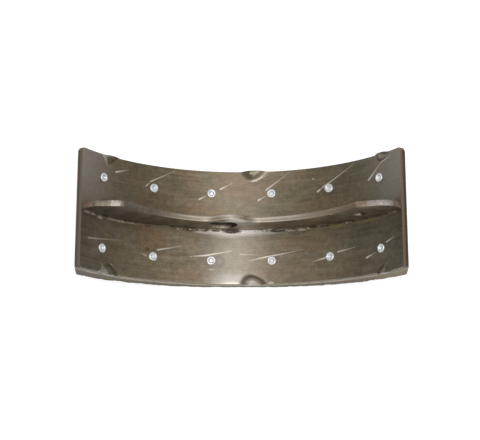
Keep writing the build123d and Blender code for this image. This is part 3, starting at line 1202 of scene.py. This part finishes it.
# %% The zinc finish
def rivet_finish():
    finish = Finish("zinc_plate", Metallic=0.35)
    spangle = finish.body().noise(0.9, 3.0, 0.6)
    finish.give(
        Base_Color=spangle.eased(0.35, 0.7).mix((0.55, 0.56, 0.58), (0.86, 0.86, 0.86)),
        Roughness=spangle.eased(0.3, 0.7, 0.30, 0.44),
    )
    finish.bump(spangle, 0.08 * mm, 0.5)
    return finish.material


# %% Helpers for Geometry Nodes
def on_seat(given, angle, y):
    """A tree's own on_drum: the place at an angle on the table's hollow face."""
    radius = given["Seat Radius"]
    height = given["Axis Height"] - radius * angle.maths("COSINE")
    return angle.tree.combine(radius * angle.maths("SINE"), y, height)


def made_real(copies, push, material, noise_scale, noise_detail):
    """Ends a tree: makes copies real, pushes their points about by noise and gives them their material."""
    tree = copies.tree
    real = tree.add("GeometryNodeRealizeInstances", {"Geometry": copies})
    inputs = {"Vector": tree.add("GeometryNodeInputPosition"), "Scale": noise_scale, "Detail": noise_detail}
    uneven = tree.add("ShaderNodeTexNoise", inputs, "Color")
    offset = uneven.vector("SUBTRACT", (0.5, 0.5, 0.5)).vector("SCALE", Scale=push)
    worn = tree.add("GeometryNodeSetPosition", {"Geometry": real, "Offset": offset})
    done = tree.add("GeometryNodeSetMaterial", {"Geometry": worn, "Material": material})
    tree.node("NodeGroupOutput", {"Geometry": done})
    return tree.group


def grow(piece, group, material):
    """Runs a tree on a piece and keeps the result as plain mesh."""
    piece.modifiers.new(group.name, "NODES").node_group = group
    piece.data.materials.append(material)
    return settle(piece)


# %% The rivet tree
rivet_section = (
    # radius and height over the table's hollow face, in millimetres
    (0.0, -11.3), (4.8, -11.3), (5.0, -11.1), (5.0, -10.15), (4.85, -10.0), (2.5, -10.0), (2.5, 0.05),
    (3.55, 0.05), (3.71, 0.22), (3.75, 0.5), (3.68, 0.8), (3.48, 1.05), (3.15, 1.21), (2.75, 1.25),
    (2.35, 1.16), (2.0, 0.85), (1.72, 0.4), (1.55, -0.1), (1.4, -0.4), (1.1, -0.5), (0.6, -0.42),
    (0.0, -0.38),
)


def section_line():
    """The half section as a mesh of edges in the XZ plane, which the tree turns round."""
    shape = bmesh.new()
    points = [shape.verts.new((radius * mm, 0, height * mm)) for radius, height in rivet_section]
    for first, second in zip(points, points[1:]):
        shape.edges.new((first, second))
    return new_piece("rivets_set", shape)


def rivet_tree(material):
    inputs = (
        ("Geometry", "Geometry"),
        ("Per Row", "Int", rivets_per_row),
        ("Pitch", "Float", rivet_pitch),
        ("Row Offset", "Float", rivet_row_y),
        ("Seat Radius", "Float", table_inner_radius),
        ("Axis Height", "Float", axis_height),
        ("Sides", "Int", 40),
        ("Dents", "Float", 0.4 * mm),
        ("Seed", "Int", 7),
    )
    tree, given = new_group("GeometryNodeTree", "rivet_rows", inputs, "Geometry", "Geometry")
    section = {"Geometry": given["Geometry"]}
    index = tree.add("GeometryNodeInputIndex")

    # a grid has one column for each side, and each of its points takes its place from the half section
    points = tree.add("GeometryNodeAttributeDomainSize", section, "Point Count", component="MESH")
    grid_sizes = {"Size X": 1.0, "Size Y": 1.0, "Vertices X": given["Sides"] + 1.0, "Vertices Y": points}
    grid = tree.add("GeometryNodeMeshGrid", grid_sizes, "Mesh")
    step = ((index + 0.5) / points).maths("FLOOR")
    sampled = {**section, "Value": tree.add("GeometryNodeInputPosition"), "Index": index - step * points}
    on_section = tree.add("GeometryNodeSampleIndex", sampled, "Value", data_type="FLOAT_VECTOR")
    radius, _, height = on_section.parts()
    turn = step / given["Sides"] * math.tau
    swept = tree.combine(radius * turn.maths("COSINE"), radius * turn.maths("SINE"), height)
    turned = tree.add("GeometryNodeSetPosition", {"Geometry": grid, "Position": swept})
    closed = tree.add("GeometryNodeMergeByDistance", {"Geometry": turned, "Distance": 0.01 * mm})
    rivet = tree.add("GeometryNodeSetShadeSmooth", {"Geometry": closed})

    # a copy at each place of the two rows, square to the drum
    places = tree.add("GeometryNodePoints", {"Count": given["Per Row"] * 2.0})
    row = ((index + 0.5) / given["Per Row"]).maths("FLOOR")
    place_in_row = index - row * given["Per Row"]
    angle = (place_in_row - (given["Per Row"] - 1.0) * 0.5) * given["Pitch"]
    seat = on_seat(given, angle, given["Row Offset"] * row.scaled(2.0, -1.0))
    seated = tree.add("GeometryNodeSetPosition", {"Geometry": places, "Position": seat})
    turns = {"Min": (0.0, 0.0, 0.0), "Max": (0.0, 0.0, math.tau), "Seed": given["Seed"]}
    twist = tree.add("FunctionNodeRandomValue", turns, data_type="FLOAT_VECTOR")
    square = tree.combine(0.0, angle * -1.0, 0.0)
    copies = {"Points": seated, "Instance": rivet, "Rotation": square}
    set_out = tree.add("GeometryNodeInstanceOnPoints", copies)
    twisted = tree.add("GeometryNodeRotateInstances", {"Instances": set_out, "Rotation": twist})
    return made_real(twisted, given["Dents"], material, noise_scale=420.0, noise_detail=1.0)


zinc = rivet_finish()
rivets = grow(section_line(), rivet_tree(zinc), zinc)
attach(rivets, "root")
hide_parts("rivets")

# %% [markdown]
# ## Weld flash
# Where the web's feet were pressed into the hot table, metal was squeezed out in small lumps on both
# sides. A tree strews them along the foot line, each stretched along the arc by a size of its own.

# %% The flash finish and its tree
flash_tones = (
    (0.32, (0.05, 0.034, 0.02)),
    (0.46, (0.12, 0.085, 0.05)),
    (0.56, (0.22, 0.17, 0.11)),
    (0.68, (0.44, 0.385, 0.31)),
)


def flash_finish():
    finish = Finish("weld_flash", Metallic=0.5, Roughness=0.48, Coat_Weight=0.3, Coat_Roughness=0.35)
    body = finish.body()
    finish.give(Base_Color=body.noise(0.3, 3.0, 0.6).toned(0.0, 1.0, flash_tones))
    finish.bump(body.noise(1.4, 3.0, 0.6), 0.3 * mm, 0.8)
    return finish.material


def flash_tree(material):
    inputs = (
        ("Geometry", "Geometry"),
        ("Lumps", "Int", 150),
        ("Half Angle", "Float", math.radians(59)),
        ("Seat Radius", "Float", table_inner_radius),
        ("Foot Offset", "Float", web_half + 0.1 * mm),
        ("Spread", "Float", 1.2 * mm),
        ("Axis Height", "Float", axis_height),
        ("Smallest", "Float", 0.25 * mm),
        ("Largest", "Float", 0.8 * mm),
        ("Longest", "Float", 5.0),
        ("Seed", "Int", 3),
    )
    tree, given = new_group("GeometryNodeTree", "flash_lumps", inputs, "Geometry", "Geometry")

    def chance(low, high, number):
        inputs = {2: low, 3: high, "Seed": given["Seed"] + number}
        return tree.add("FunctionNodeRandomValue", inputs, 1, data_type="FLOAT")

    angle = chance(given["Half Angle"] * -1.0, given["Half Angle"], 1.0)
    side = tree.add("GeometryNodeInputIndex").maths("MODULO", 2.0).scaled(2.0, -1.0)
    beside = side * (given["Foot Offset"] + chance(0.0, given["Spread"], 2.0))
    places = {"Count": given["Lumps"], "Position": on_seat(given, angle, beside)}
    points = tree.add("GeometryNodePoints", places)
    ball = tree.add("GeometryNodeMeshIcoSphere", {"Radius": 1.0, "Subdivisions": 3}, "Mesh")
    lump = tree.add("GeometryNodeSetShadeSmooth", {"Geometry": ball})
    size = chance(given["Smallest"], given["Largest"], 3.0)
    stretch = tree.combine(size * chance(1.0, given["Longest"], 4.0), size, size * 0.8)
    square = tree.combine(0.0, angle * -1.0, 0.0)
    copies = {"Points": points, "Instance": lump, "Scale": stretch, "Rotation": square}
    strewn = tree.add("GeometryNodeInstanceOnPoints", copies)
    return made_real(strewn, given["Largest"], material, noise_scale=900.0, noise_detail=2.0)


burnt_metal = flash_finish()
flash = grow(new_piece("weld_flash", bmesh.new()), flash_tree(burnt_metal), burnt_metal)
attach(flash, "root")

# %% [markdown]
# ## Floor, lamps and camera
# The shoe lies on a plain pale floor. The floor shows itself as white to the camera and to glossy rays,
# by a share of its own light, and still takes the shadow. A broad soft panel hangs overhead, with a
# smaller lamp under it that lays one bright band across the middle of the rolled sheet.

# %% Set the stage
floor_light = 0.82
floor_paint = 0.35
world_light = 0.40


def stage_finish():
    surface = Surface("pale_floor")
    ray = surface.add("ShaderNodeLightPath", output="Is Camera Ray")
    seen = ray.most(ray.output("Is Glossy Ray")).most(ray.output("Is Transmission Ray"))
    light = {"Color": (1, 1, 1, 1), "Strength": seen * floor_light}
    own_light = surface.add("ShaderNodeEmission", light)
    paint = surface.add("ShaderNodeBsdfDiffuse", {"Color": (floor_paint, floor_paint, floor_paint, 1)})
    both = surface.add("ShaderNodeAddShader", {0: own_light, 1: paint})
    surface.node("ShaderNodeOutputMaterial", {"Surface": both})
    return surface.material


floor_shape = bmesh.new()
bmesh.ops.create_circle(floor_shape, cap_ends=True, segments=96, radius=12.0)
floor = new_piece("floor", floor_shape)
floor.location.z = -0.2 * mm
floor.data.materials.append(stage_finish())

world = bpy.data.worlds.new("studio")
bpy.context.scene.world = world
world.use_nodes = True
background = world.node_tree.nodes["Background"].inputs
background["Color"].default_value = (1.0, 1.0, 1.0, 1)
background["Strength"].default_value = world_light


def look_at(thing, place, target):
    """Sets a lamp or a camera at a place, pointed at a target, and puts it in the scene."""
    made = bpy.data.objects.new(thing.name, thing)
    made.location = place
    made.rotation_mode = "QUATERNION"
    made.rotation_quaternion = (target - place).to_track_quat("-Z", "Y")
    bpy.context.scene.collection.objects.link(made)
    return made


def lamp(name, place, size, power):
    light = bpy.data.lights.new(name, "AREA")
    light.shape = "SQUARE"
    light.size = size
    light.energy = power
    return look_at(light, Vector(place), Vector((0.0, 0.0, 0.05)))


lamp("panel", (0.04, 0.0, 1.5), size=1.2, power=8.0)
lamp("softbox", (0.125, -0.16, 1.15), size=0.16, power=5.0)

# %% Place the camera
camera_place = Vector((-2.38, -220.4, 987.0)) * mm
camera_target = Vector((-1.16, 6.54, 18.5)) * mm
camera_roll = math.radians(0.30)
camera_data = bpy.data.cameras.new("camera")
camera_data.lens = 88.1
camera_data.sensor_width = 36.0
camera = look_at(camera_data, camera_place, camera_target)
camera.rotation_quaternion = camera.rotation_quaternion @ Quaternion((0, 0, 1), camera_roll)
bpy.context.scene.camera = camera
bpy.context.scene.view_settings.view_transform = "Standard"

# %% Update the view layer
bpy.context.view_layer.update()
